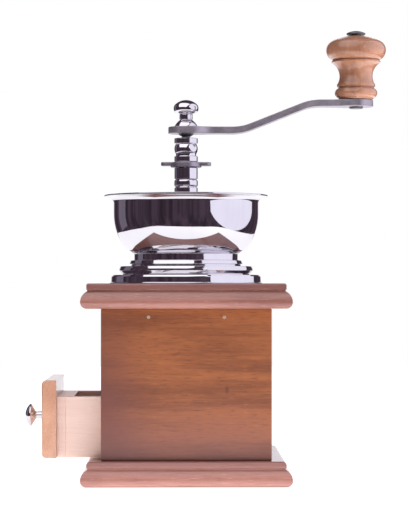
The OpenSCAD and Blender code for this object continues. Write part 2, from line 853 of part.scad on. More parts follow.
module crank_side() {
  x_end = crank_len + tip_r + over;
  polygon(concat(
    [[-hub_r - over, 0]],
    arc(bend_x, bar_t + bend_r, bend_r + bar_t, -90, crank_slope - 90, 6),
    arc(bend_two[0], bend_two[1], bend_r, 90 + crank_slope, 90, 6),
    [[x_end, crank_rise], [x_end, crank_rise + bar_t]],
    arc(bend_two[0], bend_two[1], bend_r + bar_t, 90, 90 + crank_slope, 6),
    arc(bend_x, bar_t + bend_r, bend_r, crank_slope - 90, -90, 6),
    [[-hub_r - over, bar_t]]
  ));
}

module eye_outline(r) {
  gap = bar_w / 2 + eye_fillet;
  reach = sqrt(pow(r + eye_fillet, 2) - gap * gap);
  touch = r / (r + eye_fillet);
  circle(r = r);
  for (side = [-1, 1]) scale([1, side]) difference() {
    polygon([[0, 0], [reach, 0], [reach, bar_w / 2], [reach * touch, gap * touch]]);
    translate([reach, gap]) circle(r = eye_fillet);
  }
}

module crank_arm() {
  color(steel) translate([0, 0, z_arm]) difference() {
    intersection() {
      section_along_y(2 * (hub_r + tip_r)) crank_side();
      translate([0, 0, -over]) linear_extrude(height = crank_rise + bar_t + 2 * over) {
        eye_outline(hub_r);
        translate([crank_len, 0]) mirror([1, 0]) eye_outline(tip_r);
        translate([0, -bar_w / 2]) square([crank_len, bar_w]);
      }
    }
    translate([0, 0, -over]) keyed_bar(thread_r + pin_fit, arm_flat_half + pin_fit, bar_t + 2 * over);
    translate([crank_len, 0, 0]) cylinder(r = bolt_r + pin_fit, h = crank_rise + bar_t + over);
  }
}

module finial() {
  foot_h = 0.8;
  cone_top = 5.3;
  ease = 0.4;
  outline = concat(
    [
      [0, 0], [finial_foot_r, 0], [finial_foot_r, foot_h], [finial_neck_r + ease, cone_top - ease],
      [finial_neck_r, cone_top], [finial_neck_r, finial_mid - finial_edge_r]
    ],
    button(finial_r, finial_edge_r, finial_h - finial_mid, finial_mid)
  );
  color(chrome) translate([0, 0, z_finial]) difference() {
    lathe(outline);
    translate([0, 0, -over]) cylinder(r = thread_r + pin_fit, h = finial_grip + over + pin_fit);
  }
}

module knob_bolt() {
  dome_edge = 0.6;
  neck = 1.6;
  shank = z_cap - z_tip;
  color(dark_steel) translate([crank_len, 0, z_tip]) lathe(concat(
    [
      [0, -rivet_h], [rivet_r - rivet_h / 2, -rivet_h], [rivet_r, -rivet_h / 2], [rivet_r, 0],
      [bolt_r, 0], [bolt_r, shank], [bolt_r + neck, shank]
    ],
    button(cap_r, dome_edge, cap_h - dome_edge, shank + dome_edge)
  ));
}

module knob() {
  bead_e = knob_bead_h / 2;
  seat_h = 0.8;
  bead_z = bead_e + seat_h;
  seat_r = knob_bead_r - bead_e + 0.6;
  quirk = 0.9;
  ring_low = bead_z + bead_e + 0.5;
  ring_top = knob_mid - knob_edge_r;
  lip_r = knob_bead_r - 1.3;
  hollow_x = knob_waist_r + knob_hollow_r;
  low_turn = acos((hollow_x - lip_r) / knob_hollow_r);
  high_turn = acos((hollow_x - knob_ring_r) / knob_hollow_r);
  crown_h = knob_h - knob_mid;
  crown_r = 0.9 * crown_h;
  outline = concat(
    [[bolt_r + run_fit, 0], [seat_r, 0], [seat_r + 0.4, seat_h + 0.2]],
    arc(knob_bead_r - bead_e, bead_z, bead_e, -70, 70, 10),
    [[lip_r - quirk, ring_low - 0.2], [lip_r, ring_low]],
    arc(hollow_x, knob_waist_z, knob_hollow_r, 180 + low_turn, 180 - high_turn, 14),
    [[knob_ring_r, ring_top], [knob_ring_r - quirk, ring_top + 0.35]],
    arc(knob_r - knob_edge_r, knob_mid, knob_edge_r, -62, -6, 7),
    button(knob_r, crown_r, crown_h, knob_mid, 0)
  );
  color(knob_wood) translate([crank_len, 0, z_knob]) difference() {
    lathe(concat([[0, 0]], outline));
    translate([0, 0, -over]) cylinder(r = bolt_r + run_fit, h = knob_h + 2 * over);
  }
}

// Drawer

module face_section(h) {
  polygon(concat(
    [[0, -h / 2], [0, h / 2]],
    arc(-face_t + face_edge_r, h / 2 - face_edge_r, face_edge_r, 90, 180, 6),
    arc(-face_t + face_edge_r, -h / 2 + face_edge_r, face_edge_r, 180, 270, 6)
  ));
}

module along_pull(x) {
  translate([x, 0, z_pull]) rotate([0, -90, 0]) children();
}

module pull_bore(r) {
  along_pull(x_face + box_front_t + over) cylinder(r = r, h = box_front_t + face_t + 2 * over);
}

module drawer_face() {
  color(face_wood) difference() {
    intersection() {
      translate([x_face, 0, z_pull]) section_along_y(front_w + 2 * over) face_section(face_h);
      translate([x_face, 0, z_drawer]) linear_extrude(height = face_h) face_section(front_w);
    }
    pull_bore(pull_screw_r + pin_fit);
  }
}

module floor_groove(grow) {
  x_from = x_face + box_front_t - groove_d;
  half = box_half - box_t + groove_d;
  translate([x_from - grow, -half - grow, z_drawer + floor_lift - grow])
    cube([
      box_len - box_t - box_front_t + 2 * (groove_d + grow), 2 * (half + grow), box_floor_t + 2 * grow
    ]);
}

module drawer_front() {
  color(pale_wood) difference() {
    translate([x_face, -box_half, z_drawer]) cube([box_front_t, drawer_w, box_h]);
    for (y = [-box_half - over, box_half - box_t])
      translate([x_face + box_front_t - box_lap, y, z_drawer - over])
        cube([box_lap + over, box_t + over, box_h + 2 * over]);
    floor_groove(pin_fit);
    pull_bore(pull_screw_r + pin_fit);
  }
}

module drawer_side(side) {
  x_from = x_face + box_front_t - box_lap;
  color(pale_wood) difference() {
    translate([x_from, side * (box_half - box_t / 2) - box_t / 2, z_drawer])
      cube([x_box_end - x_from, box_t, box_h]);
    floor_groove(pin_fit);
  }
}

module drawer_side_near() {
  drawer_side(-1);
}

module drawer_side_far() {
  drawer_side(1);
}

module drawer_back() {
  color(pale_wood) difference() {
    translate([x_box_end - box_t, -box_half + box_t, z_drawer]) cube([box_t, drawer_w - 2 * box_t, box_h]);
    floor_groove(pin_fit);
  }
}

module drawer_floor() {
  color(pale_wood) floor_groove(0);
}

module drawer_pull() {
  edge = pull_head_h * 0.4;
  flare = 0.6;
  outline = concat(
    [[0, 0], [pull_stem_r + flare, 0], [pull_stem_r, 2 * flare], [pull_stem_r, pull_stem_h]],
    button(pull_r, edge, pull_head_h - edge, pull_stem_h + edge)
  );
  color(chrome) along_pull(x_pull) difference() {
    lathe(outline);
    translate([0, 0, -over]) cylinder(r = pull_screw_r + pin_fit, h = pull_grip + over + pin_fit);
  }
}

module pull_screw() {
  reach = box_front_t + face_t + pull_grip;
  color(steel) along_pull(x_face + box_front_t) {
    translate([0, 0, -pull_screw_head_h]) cylinder(r = pull_screw_head_r, h = pull_screw_head_h);
    translate([0, 0, -pull_screw_head_h / 2]) cylinder(r = pull_screw_r, h = reach + pull_screw_head_h / 2);
  }
}

base_board();
side_panel_near();
side_panel_far();
front_panel();
back_panel();
top_board();
top_battens();
brads();
drawer_guides();
base_screws();
mill_screws();
collar();
hopper_bowl();
bridge();
bridge_screws();
column();
column_nut();
spring();
burr_ring();
lock_plate();
adjusting_nut();
shaft();
grinding_cone();
cone_washer();
cone_nut();
arm_spacer();
crank_arm();
finial();
knob_bolt();
knob();
drawer_face();
drawer_front();
drawer_side_near();
drawer_side_far();
drawer_back();
drawer_floor();
drawer_pull();
pull_screw();
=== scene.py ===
import bpy
import bmesh
import math
from mathutils import Matrix, Vector


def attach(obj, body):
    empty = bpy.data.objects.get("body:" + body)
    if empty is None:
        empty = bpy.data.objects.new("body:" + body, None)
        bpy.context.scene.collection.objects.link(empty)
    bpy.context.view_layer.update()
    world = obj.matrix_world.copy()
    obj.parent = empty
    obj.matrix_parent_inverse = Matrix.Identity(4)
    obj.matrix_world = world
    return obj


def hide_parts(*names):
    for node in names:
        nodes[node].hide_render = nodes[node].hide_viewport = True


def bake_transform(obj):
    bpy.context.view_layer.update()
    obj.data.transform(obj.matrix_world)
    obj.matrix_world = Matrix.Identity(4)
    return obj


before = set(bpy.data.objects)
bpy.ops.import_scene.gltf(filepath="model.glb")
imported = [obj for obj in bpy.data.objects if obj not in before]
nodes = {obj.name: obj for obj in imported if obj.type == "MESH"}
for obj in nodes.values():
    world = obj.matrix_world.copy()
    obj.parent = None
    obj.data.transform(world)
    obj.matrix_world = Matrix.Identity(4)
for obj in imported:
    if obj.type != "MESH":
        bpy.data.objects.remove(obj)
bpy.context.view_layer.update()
mm = 0.001  # sizes of pieces are in millimetres, and finished meshes in metres
print("frame loaded:", len(nodes), "nodes")


# Shader nodes and shared groups

# A group takes a vector and named numbers, and puts out named values
def newGroup(name, numbers, outputs):
    group = bpy.data.node_groups.new(name, "ShaderNodeTree")
    group.interface.new_socket("Vector", in_out="INPUT", socket_type="NodeSocketVector")
    for label, value in numbers.items():
        socket = group.interface.new_socket(label, in_out="INPUT", socket_type="NodeSocketFloat")
        socket.default_value = value
    for label in outputs:
        group.interface.new_socket(label, in_out="OUTPUT", socket_type="NodeSocketFloat")
    return group, group.nodes.new("NodeGroupInput"), group.nodes.new("NodeGroupOutput")


def placeGroup(tree, group, vector, numbers):
    node = tree.nodes.new("ShaderNodeGroup")
    node.node_tree = group
    tree.links.new(vector, node.inputs["Vector"])
    for label, value in numbers.items():
        node.inputs[label].default_value = value
    return node


def mathNode(tree, operation, a, b):
    node = tree.nodes.new("ShaderNodeMath")
    node.operation = operation
    for socket, value in zip(node.inputs, (a, b)):
        if isinstance(value, (int, float)):
            socket.default_value = value
        else:
            tree.links.new(value, socket)
    return node.outputs[0]


def rangeNode(tree, value, fromEnds, toEnds):
    node = tree.nodes.new("ShaderNodeMapRange")
    node.interpolation_type = "SMOOTHSTEP"
    tree.links.new(value, node.inputs["Value"])
    for label, number in zip(("From Min", "From Max", "To Min", "To Max"), (*fromEnds, *toEnds)):
        node.inputs[label].default_value = number
    return node.outputs[0]


def lengthNode(tree, vector):
    node = tree.nodes.new("ShaderNodeVectorMath")
    node.operation = "LENGTH"
    tree.links.new(vector, node.inputs[0])
    return node.outputs["Value"]


def noiseNode(tree, vector, scale, detail, distortion=0.0):
    node = tree.nodes.new("ShaderNodeTexNoise")
    node.inputs["Scale"].default_value = scale
    node.inputs["Detail"].default_value = detail
    node.inputs["Distortion"].default_value = distortion
    tree.links.new(vector, node.inputs["Vector"])
    return node.outputs["Fac"]


# Noise that is drawn out along X, as grain is
def grainNoise(tree, vector, along, across, detail, distortion):
    mapping = tree.nodes.new("ShaderNodeMapping")
    mapping.inputs["Scale"].default_value = (along, across, across)
    tree.links.new(vector, mapping.inputs["Vector"])
    return noiseNode(tree, mapping.outputs["Vector"], 1.0, detail, distortion)


def colourRamp(tree, value, ends, dark, light):
    ramp = tree.nodes.new("ShaderNodeValToRGB")
    for index, (position, colour) in enumerate(zip(ends, (dark, light))):
        ramp.color_ramp.elements[index].position = position
        ramp.color_ramp.elements[index].color = (*colour, 1)
    tree.links.new(value, ramp.inputs["Fac"])
    return ramp.outputs["Color"]


# Lays one colour over another. Each is a socket or three fixed numbers
def overlay(tree, share, under, over):
    mix = tree.nodes.new("ShaderNodeMix")
    mix.data_type = "RGBA"
    tree.links.new(share, mix.inputs["Factor"])
    for index, colour in ((6, under), (7, over)):  # colour inputs A and B of the node
        if isinstance(colour, tuple):
            mix.inputs[index].default_value = (*colour, 1)
        else:
            tree.links.new(colour, mix.inputs[index])
    return mix.outputs[2]  # its colour output


# Beech: broad bands and fibres along X, short dark flecks and pale glints.
# A noise is cells to a metre along and across the grain, detail, distortion
beech = dict(
    bands=(9, 75, 3.0, 0.7), bandShare=0.55, fibres=(45, 900, 2.0, 0.2), fibreShare=0.25,
    cloud=(16, 24, 2.0, 0.0), cloudShare=0.2, grain=(150, 1400, 2.0, 0.15),
    fleckRange=(1.02, 1.26), paleRange=(0.24, 0.4), fibreRelief=0.5)


def makeBeechFigure():
    outputs = ["Tone", "Fleck", "Pale", "Height"]
    tree, inside, outside = newGroup("beechFigure", {"Fleck Amount": 0.5}, outputs)
    vector = inside.outputs["Vector"]
    bands = grainNoise(tree, vector, *beech["bands"])
    fibres = grainNoise(tree, vector, *beech["fibres"])
    cloud = grainNoise(tree, vector, *beech["cloud"])
    grain = grainNoise(tree, vector, *beech["grain"])
    tone = mathNode(tree, "MULTIPLY", bands, beech["bandShare"])
    for noise, share in ((fibres, beech["fibreShare"]), (cloud, beech["cloudShare"])):
        tone = mathNode(tree, "ADD", tone, mathNode(tree, "MULTIPLY", noise, share))
    flecked = mathNode(tree, "ADD", grain, inside.outputs["Fleck Amount"])
    fleck = rangeNode(tree, flecked, beech["fleckRange"], (0.0, 1.0))
    pale = rangeNode(tree, grain, beech["paleRange"], (1.0, 0.0))
    raised = mathNode(tree, "MULTIPLY", fibres, beech["fibreRelief"])
    height = mathNode(tree, "SUBTRACT", raised, fleck)
    for label, value in zip(outputs, (tone, fleck, pale, height)):
        tree.links.new(value, outside.inputs[label])
    return tree


# Handling marks on metal: soft smears (scale, detail, distortion) and hair-fine scratches
handling = dict(smear=(55.0, 4.0, 0.8), smearRange=(0.42, 0.72), hairs=(60, 2600, 1.0, 0.3))


def makeHandlingMarks():
    numbers = {"Smear": 0.04, "Base": 0.05}
    tree, inside, outside = newGroup("handlingMarks", numbers, ["Roughness", "Height"])
    vector = inside.outputs["Vector"]
    smear = noiseNode(tree, vector, *handling["smear"])
    spread = rangeNode(tree, smear, handling["smearRange"], (0.0, 1.0))
    dulled = mathNode(tree, "MULTIPLY", spread, inside.outputs["Smear"])
    rough = mathNode(tree, "ADD", inside.outputs["Base"], dulled)
    tree.links.new(rough, outside.inputs["Roughness"])
    tree.links.new(grainNoise(tree, vector, *handling["hairs"]), outside.inputs["Height"])
    return tree


beechFigure = makeBeechFigure()
handlingMarks = makeHandlingMarks()
print("shader groups made")


# Materials

woodFinish = dict(toneRange=(0.3, 0.7), roughSpread=0.05, relief=0.12)
metalFinish = dict(tintRange=(0.25, 0.75), mottleDetail=3.0, relief=0.02)
spotFade = (0.3, 1.0)  # a spot fades from this share of its size to its edge


def startMaterial(name):
    material = bpy.data.materials.new(name)
    material.use_nodes = True
    return material, material.node_tree, material.node_tree.nodes["Principled BSDF"]


def placedVector(tree, turn=(0, 0, 0), shift=(0, 0, 0)):
    coords = tree.nodes.new("ShaderNodeTexCoord")
    mapping = tree.nodes.new("ShaderNodeMapping")
    mapping.inputs["Rotation"].default_value = [math.radians(a) for a in turn]
    mapping.inputs["Location"].default_value = [v * mm for v in shift]
    tree.links.new(coords.outputs["Object"], mapping.inputs["Vector"])
    return mapping.outputs["Vector"]


def addBump(tree, shader, height, strength, depth):
    bump = tree.nodes.new("ShaderNodeBump")
    bump.inputs["Strength"].default_value = strength
    bump.inputs["Distance"].default_value = depth * mm
    tree.links.new(height, bump.inputs["Height"])
    tree.links.new(bump.outputs["Normal"], shader.inputs["Normal"])


# Real knots and patches of painted shade are each a soft ellipsoid of another colour
def knotAndPaintedShadeSpot(tree, colour, spot):
    coords = tree.nodes.new("ShaderNodeTexCoord")
    mapping = tree.nodes.new("ShaderNodeMapping")
    mapping.vector_type = "TEXTURE"
    mapping.inputs["Location"].default_value = [v * mm for v in spot["at"]]
    mapping.inputs["Scale"].default_value = [v * mm for v in spot["size"]]
    tree.links.new(coords.outputs["Object"], mapping.inputs["Vector"])
    reach = lengthNode(tree, mapping.outputs["Vector"])
    share = rangeNode(tree, reach, spotFade, (spot["strength"], 0.0))
    return overlay(tree, share, colour, spot["colour"])


def woodMaterial(name, look):
    material, tree, shader = startMaterial(name)
    vector = placedVector(tree, look["turn"], look["shift"])
    figure = placeGroup(tree, beechFigure, vector, {"Fleck Amount": look["flecks"]})
    colour = colourRamp(tree, figure.outputs["Tone"], look["tone"], look["dark"], look["light"])
    fleckShare = mathNode(tree, "MULTIPLY", figure.outputs["Fleck"], look["fleckStrength"])
    colour = overlay(tree, fleckShare, colour, look["fleck"])
    paleShare = mathNode(tree, "MULTIPLY", figure.outputs["Pale"], look["paleStrength"])
    colour = overlay(tree, paleShare, colour, look["pale"])
    # Knots and patches of painted shade are laid over the figure
    for spot in look.get("knotsAndPaintedShade", []):
        colour = knotAndPaintedShadeSpot(tree, colour, spot)
    tree.links.new(colour, shader.inputs["Base Color"])
    roughEnds = (look["rough"] + woodFinish["roughSpread"], look["rough"] - woodFinish["roughSpread"])
    rough = rangeNode(tree, figure.outputs["Tone"], woodFinish["toneRange"], roughEnds)
    tree.links.new(rough, shader.inputs["Roughness"])
    shader.inputs["Coat Weight"].default_value = look["coat"]
    shader.inputs["Coat Roughness"].default_value = look["coatRough"]
    shader.inputs["Specular IOR Level"].default_value = look["specular"]
    addBump(tree, shader, figure.outputs["Height"], look["bump"], woodFinish["relief"])
    return material


def metalMaterial(name, look):
    material, tree, shader = startMaterial(name)
    vector = placedVector(tree)
    marks = placeGroup(tree, handlingMarks, vector, {"Smear": look["smear"], "Base": look["rough"]})
    mottle = noiseNode(tree, vector, look["mottle"], metalFinish["mottleDetail"])
    tint = colourRamp(tree, mottle, metalFinish["tintRange"], look["dark"], look["light"])
    tree.links.new(tint, shader.inputs["Base Color"])
    tree.links.new(marks.outputs["Roughness"], shader.inputs["Roughness"])
    shader.inputs["Metallic"].default_value = look["metal"]
    addBump(tree, shader, marks.outputs["Height"], look["bump"], metalFinish["relief"])
    return material


panelLook = dict(
    turn=(0, 0, 0), shift=(3, 0, 7), flecks=0.5, tone=(0.42, 0.58),
    dark=(0.21, 0.059, 0.018), light=(0.35, 0.11, 0.034),
    fleck=(0.12, 0.034, 0.015), fleckStrength=0.8, pale=(0.5, 0.21, 0.1), paleStrength=0.5,
    rough=0.45, coat=1.0, coatRough=0.28, specular=0.4, bump=0.12,
    # Painted shade darkens the left end, and a painted mauve haze, a little darker, runs along the bottom.
    # The small third spot is a real knot
    knotsAndPaintedShade=[dict(at=(-62, 0, 20), size=(52, 300, 125), colour=(0.15, 0.046, 0.038), strength=0.85),
           dict(at=(10, 0, 0), size=(120, 300, 62), colour=(0.225, 0.08, 0.07), strength=0.6),
           dict(at=(24, -50.7, 56.8), size=(1.6, 6, 3.4), colour=(0.1, 0.03, 0.016), strength=0.65)])
boardLook = dict(
    turn=(0, 0, 0), shift=(40, 12, 3), flecks=0.48, tone=(0.4, 0.6),
    dark=(0.246, 0.092, 0.071), light=(0.385, 0.166, 0.13),
    fleck=(0.22, 0.08, 0.065), fleckStrength=0.5, pale=(0.68, 0.42, 0.36), paleStrength=0.35,
    rough=0.42, coat=1.0, coatRough=0.13, specular=0.4, bump=0.1,
    # Painted shade: each board is darker in a band about the top of its step
    knotsAndPaintedShade=[dict(at=(0, 0, z), size=(300, 300, 5.5), colour=(0.2, 0.085, 0.08), strength=0.55)
           for z in (14.5, 119.5)])  # the top of each board's step
paleLook = dict(
    turn=(0, 0, 0), shift=(0, 60, 20), flecks=0.44, tone=(0.34, 0.66),
    dark=(0.8, 0.57, 0.49), light=(0.93, 0.72, 0.64),
    fleck=(0.62, 0.4, 0.32), fleckStrength=0.3, pale=(0.97, 0.85, 0.8), paleStrength=0.3,
    rough=0.4, coat=0.0, coatRough=0.3, specular=0.6, bump=0.1)
faceLook = dict(
    turn=(0, 0, 90), shift=(20, 0, 0), flecks=0.48, tone=(0.34, 0.66),
    dark=(0.48, 0.235, 0.145), light=(0.65, 0.36, 0.245),
    fleck=(0.38, 0.16, 0.08), fleckStrength=0.5, pale=(0.8, 0.55, 0.42), paleStrength=0.3,
    rough=0.36, coat=1.0, coatRough=0.16, specular=0.5, bump=0.08)
knobLook = dict(
    turn=(0, 90, 0), shift=(0, 30, 0), flecks=0.46, tone=(0.36, 0.64),
    dark=(0.41, 0.172, 0.092), light=(0.607, 0.296, 0.178),
    fleck=(0.28, 0.1, 0.05), fleckStrength=0.5, pale=(0.68, 0.4, 0.3), paleStrength=0.3,
    rough=0.3, coat=1.0, coatRough=0.08, specular=0.5, bump=0.05)
stainedBeechWithPaintedShade = woodMaterial("stainedBeechWithPaintedShade", panelLook)
crossBeech = woodMaterial("crossBeech", dict(panelLook, turn=(0, 0, 90), knotsAndPaintedShade=[]))
boardBeech = woodMaterial("boardBeech", boardLook)
paleBeech = woodMaterial("paleBeech", paleLook)
faceBeech = woodMaterial("faceBeech", faceLook)
knobBeech = woodMaterial("knobBeech", knobLook)

platedLook = dict(dark=(0.78, 0.76, 0.79), light=(0.86, 0.85, 0.88), mottle=30.0,
                  rough=0.035, smear=0.05, bump=0.015, metal=1.0)
steelLook = dict(dark=(0.34, 0.31, 0.36), light=(0.5, 0.46, 0.52), mottle=180.0,
                 rough=0.33, smear=0.12, bump=0.12, metal=0.7)
darkLook = dict(dark=(0.15, 0.15, 0.16), light=(0.26, 0.26, 0.27), mottle=220.0,
                rough=0.34, smear=0.12, bump=0.08, metal=0.9)
ironLook = dict(dark=(0.09, 0.09, 0.095), light=(0.2, 0.2, 0.205), mottle=420.0,
                rough=0.55, smear=0.15, bump=0.3, metal=0.8)
brassLook = dict(dark=(0.75, 0.56, 0.4), light=(0.9, 0.74, 0.58), mottle=260.0,
                 rough=0.38, smear=0.1, bump=0.05, metal=0.8)
platedSteel = metalMaterial("platedSteel", platedLook)
brightSteel = metalMaterial("brightSteel", steelLook)
darkSteel = metalMaterial("darkSteel", darkLook)
greyIron = metalMaterial("greyIron", ironLook)
lightBrass = metalMaterial("lightBrass", brassLook)
print("materials made")


# Ways of making a piece

# Angles are in degrees. The weld is the distance at which corners merge, and near counts as touching
fineness = dict(bevelAngle=6, bevelExtra=2, bevelLeast=3, bevelMost=24, arcAngle=5, arcLeast=4,
                edgeSteps=3, edgeAngle=50, shadeAngle=38, normalWeight=80,
                weld=0.002, near=0.001, cut=0.0001)


def weld(bm):
    bmesh.ops.remove_doubles(bm, verts=bm.verts[:], dist=fineness["weld"])


def cornerBevel(bm, vert, ease):
    first, second = [e.other_vert(vert).co - vert.co for e in vert.link_edges]
    turn = math.degrees(math.pi - first.angle(second))
    steps = int(turn / fineness["bevelAngle"]) + fineness["bevelExtra"]
    steps = max(fineness["bevelLeast"], min(fineness["bevelMost"], steps))
    bmesh.ops.bevel(bm, geom=[vert], offset=ease, offset_type="OFFSET", segments=steps, profile=0.5,
                    affect="VERTICES", material=-1, clamp_overlap=False)


# A half outline is spun round the axis. Its rows are corners (radius, height, ease)
# or arcs (centre radius, centre height, radius, from, to)
def spinOutline(rows, steps, closed=False):
    bm = bmesh.new()
    eased = []
    first = last = None
    for row in rows:
        if len(row) == 3:
            r, z, ease = row
            start = end = bm.verts.new((r, 0, z))
            if ease:
                eased.append((start, ease))
        else:
            cr, cz, radius, low, high = row
            angle = math.radians(low)
            start = bm.verts.new((cr + radius * math.cos(angle), 0, cz + radius * math.sin(angle)))
            arcSteps = max(fineness["arcLeast"], int(abs(high - low) / fineness["arcAngle"]))
            swept = bmesh.ops.spin(bm, geom=[start], cent=(cr, 0, cz), axis=(0, -1, 0),
                                   angle=math.radians(high - low), steps=arcSteps, use_merge=False)
            end = next(g for g in swept["geom_last"] if isinstance(g, bmesh.types.BMVert))
        if last:
            bm.edges.new((last, start))
        first, last = first or start, end
    if closed:
        bm.edges.new((last, first))
    for vert, ease in eased:
        cornerBevel(bm, vert, ease)
    weld(bm)
    bmesh.ops.spin(bm, geom=bm.verts[:] + bm.edges[:], cent=(0, 0, 0), axis=(0, 0, 1), angle=math.tau,
                   steps=steps, use_merge=True)
    weld(bm)
    bmesh.ops.recalc_face_normals(bm, faces=bm.faces[:])
    return bm


# A plan of rows (x, y, ease of the corner) is filled, and can be raised
def flatPlan(rows, low):
    bm = bmesh.new()
    verts = [bm.verts.new((x, y, low)) for x, y, ease in rows]
    for a, b in zip(verts, verts[1:] + verts[:1]):
        bm.edges.new((a, b))
    for vert, (x, y, ease) in zip(verts, rows):
        if ease:
            cornerBevel(bm, vert, ease)
    weld(bm)
    bmesh.ops.contextual_create(bm, geom=bm.edges[:])
    return bm


def easeEdges(bm, edges, ease, steps=fineness["edgeSteps"]):
    bmesh.ops.bevel(bm, geom=edges, offset=ease, offset_type="OFFSET", segments=steps, profile=0.5,
                    affect="EDGES", material=-1, clamp_overlap=True)


def sharpEdges(bm):
    limit = math.radians(fineness["edgeAngle"])
    return [e for e in bm.edges if e.is_manifold and e.calc_face_angle() > limit]


def raisedPlan(rows, low, high, ease):
    bm = flatPlan(rows, low)
    raised = bmesh.ops.extrude_face_region(bm, geom=bm.faces[:])["geom"]
    lifted = [g for g in raised if isinstance(g, bmesh.types.BMVert)]
    bmesh.ops.translate(bm, verts=lifted, vec=(0, 0, high - low))
    bmesh.ops.recalc_face_normals(bm, faces=bm.faces[:])
    easeEdges(bm, sharpEdges(bm), ease)
    return bm


def boxBetween(low, high):
    bm = bmesh.new()
    bmesh.ops.create_cube(bm, size=1)
    bmesh.ops.scale(bm, vec=[h - l for l, h in zip(low, high)], verts=bm.verts[:])
    bmesh.ops.translate(bm, vec=[(h + l) / 2 for l, h in zip(low, high)], verts=bm.verts[:])
    return bm


def easedBox(low, high, ease):
    bm = boxBetween(low, high)
    easeEdges(bm, bm.edges[:], ease)
    return bm


def rodRows(r, low, high, ease=0):
    return [(0, low, 0), (r, low, 0), (r, high, ease), (0, high, 0)]


# A domed button: its rim is rounded by edge about height z, and its crown stands top above z
def buttonRows(r, edge, top, z, start=-90):
    drop = ((r - edge) ** 2 - (top - edge) ** 2) / (2 * (top - edge))
    turn = math.degrees(math.atan2(drop, r - edge))
    return [(r - edge, z, edge, start, turn), (0, z - drop, top + drop, turn, 90)]


def oblongRows(reach, half, ease):
    return [(-reach, -half, ease), (reach, -half, ease), (reach, half, ease), (-reach, half, ease)]


def mirroredRows(rows):
    return rows + [(x, -y, ease) for x, y, ease in reversed(rows)]


def joined(*parts):
    whole = bmesh.new()
    for part in parts:
        mesh = bpy.data.meshes.new("part")
        part.to_mesh(mesh)
        whole.from_mesh(mesh)
        bpy.data.meshes.remove(mesh)
        part.free()
    return whole


def turnTo(bm, matrix):
    bmesh.ops.transform(bm, matrix=matrix, verts=bm.verts[:])
    return bm


def looseObject(bm, name):
    mesh = bpy.data.meshes.new(name)
    bm.to_mesh(mesh)
    bm.free()
    made = bpy.data.objects.new(name, mesh)
    bpy.context.scene.collection.objects.link(made)
    return made


# Cuts one mesh out of another, and gives back the result
def cutOut(bm, cutter):
    piece = looseObject(bm, "cutPiece")
    tool = looseObject(cutter, "cutTool")
    cut = piece.modifiers.new("cut", "BOOLEAN")
    cut.operation = "DIFFERENCE"
    cut.solver = "EXACT"
    cut.object = tool
    bpy.context.view_layer.update()
    depsgraph = bpy.context.evaluated_depsgraph_get()
    mesh = bpy.data.meshes.new_from_object(piece.evaluated_get(depsgraph))
    result = bmesh.new()
    result.from_mesh(mesh)
    for spare in (piece, tool):
        data = spare.data
        bpy.data.objects.remove(spare)
        bpy.data.meshes.remove(data)
    bpy.data.meshes.remove(mesh)
    return result


def makePiece(bm, name, material, body, replaced):
    bmesh.ops.scale(bm, vec=(mm, mm, mm), verts=bm.verts[:])
    limit = math.radians(fineness["shadeAngle"])
    for face in bm.faces:
        face.smooth = True
    for edge in bm.edges:
        edge.smooth = not (edge.is_manifold and edge.calc_face_angle() > limit)
    piece = looseObject(bm, name)
    piece.data.materials.append(material)
    normals = piece.modifiers.new("evenNormals", "WEIGHTED_NORMAL")
    normals.keep_sharp = True
    normals.weight = fineness["normalWeight"]
    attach(piece, body)
    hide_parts(*replaced)


# Case

case = dict(board=125, slab=11, step=4, stepIn=3.5, stepFoot=0.4, stepFootEase=0.25, quirk=0.5,
            quirkRise=0.1, quirkEase=0.1, lowEase=4, topEase=7, baseStepEase=2.2, topStepEase=1.2,
            cornerEase=0.7, wall=9, width=101.4, height=90, sideEase=0.6, crossEase=0.4)
zBase = case["slab"] + case["step"]
zCase = zBase + case["height"]
caseHalf = case["width"] / 2
caseInner = caseHalf - case["wall"]


# On one of the board's four mitres, away from its axis
def onMitre(at):
    near = fineness["near"]
    return abs(abs(at.x) - abs(at.y)) < near and abs(at.x) > near


# The board's edge is swept round four sides
def boardShape(low, stepEase):
    edge, slab = case["board"] / 2, case["slab"]
    lowEase, topEase = case["lowEase"], case["topEase"]
    top = slab + case["step"]
    stepAt = edge - case["stepIn"]
    quirkAt = stepAt - case["quirk"]
    turn = math.degrees(math.acos((quirkAt - edge + topEase) / topEase))
    rows = [(0, 0, 0), (edge - lowEase, lowEase, lowEase, -90, 0),
            (edge - topEase, slab - topEase, topEase, 0, turn),
            (quirkAt, slab + case["quirkRise"], case["quirkEase"]),
            (stepAt, slab + case["stepFoot"], case["stepFootEase"]), (stepAt, top, stepEase), (0, top, 0)]
    bm = spinOutline(rows, 4)
    squared = Matrix.Rotation(math.radians(45), 3, "Z")
    bmesh.ops.rotate(bm, cent=(0, 0, 0), matrix=squared, verts=bm.verts[:])
    bmesh.ops.scale(bm, vec=(math.sqrt(2), math.sqrt(2), 1), verts=bm.verts[:])
    easeEdges(bm, [e for e in bm.edges if all(onMitre(v.co) for v in e.verts)], case["cornerEase"])
    bmesh.ops.translate(bm, vec=(0, 0, low), verts=bm.verts[:])
    bmesh.ops.recalc_face_normals(bm, faces=bm.faces[:])
    return bm


screwHole = dict(x=35.7, y=46.2, headR=3.85, shankR=1.95, sink=0.4, taper=1.9, low=-1, high=16, steps=32)
holeRows = [(0, screwHole["low"], 0), (screwHole["headR"], screwHole["low"], 0),
            (screwHole["headR"], screwHole["sink"], 0),
            (screwHole["shankR"], screwHole["sink"] + screwHole["taper"], 0),
            (screwHole["shankR"], screwHole["high"], 0), (0, screwHole["high"], 0)]
holes = []
for sx in (-1, 1):
    for sy in (-1, 1):
        place = Matrix.Translation((sx * screwHole["x"], sy * screwHole["y"], 0))
        holes.append(turnTo(spinOutline(holeRows, screwHole["steps"]), place))
baseShape = cutOut(boardShape(0, case["baseStepEase"]), joined(*holes))
makePiece(baseShape, "baseBoard", boardBeech, "mill_body", ["base_board"])

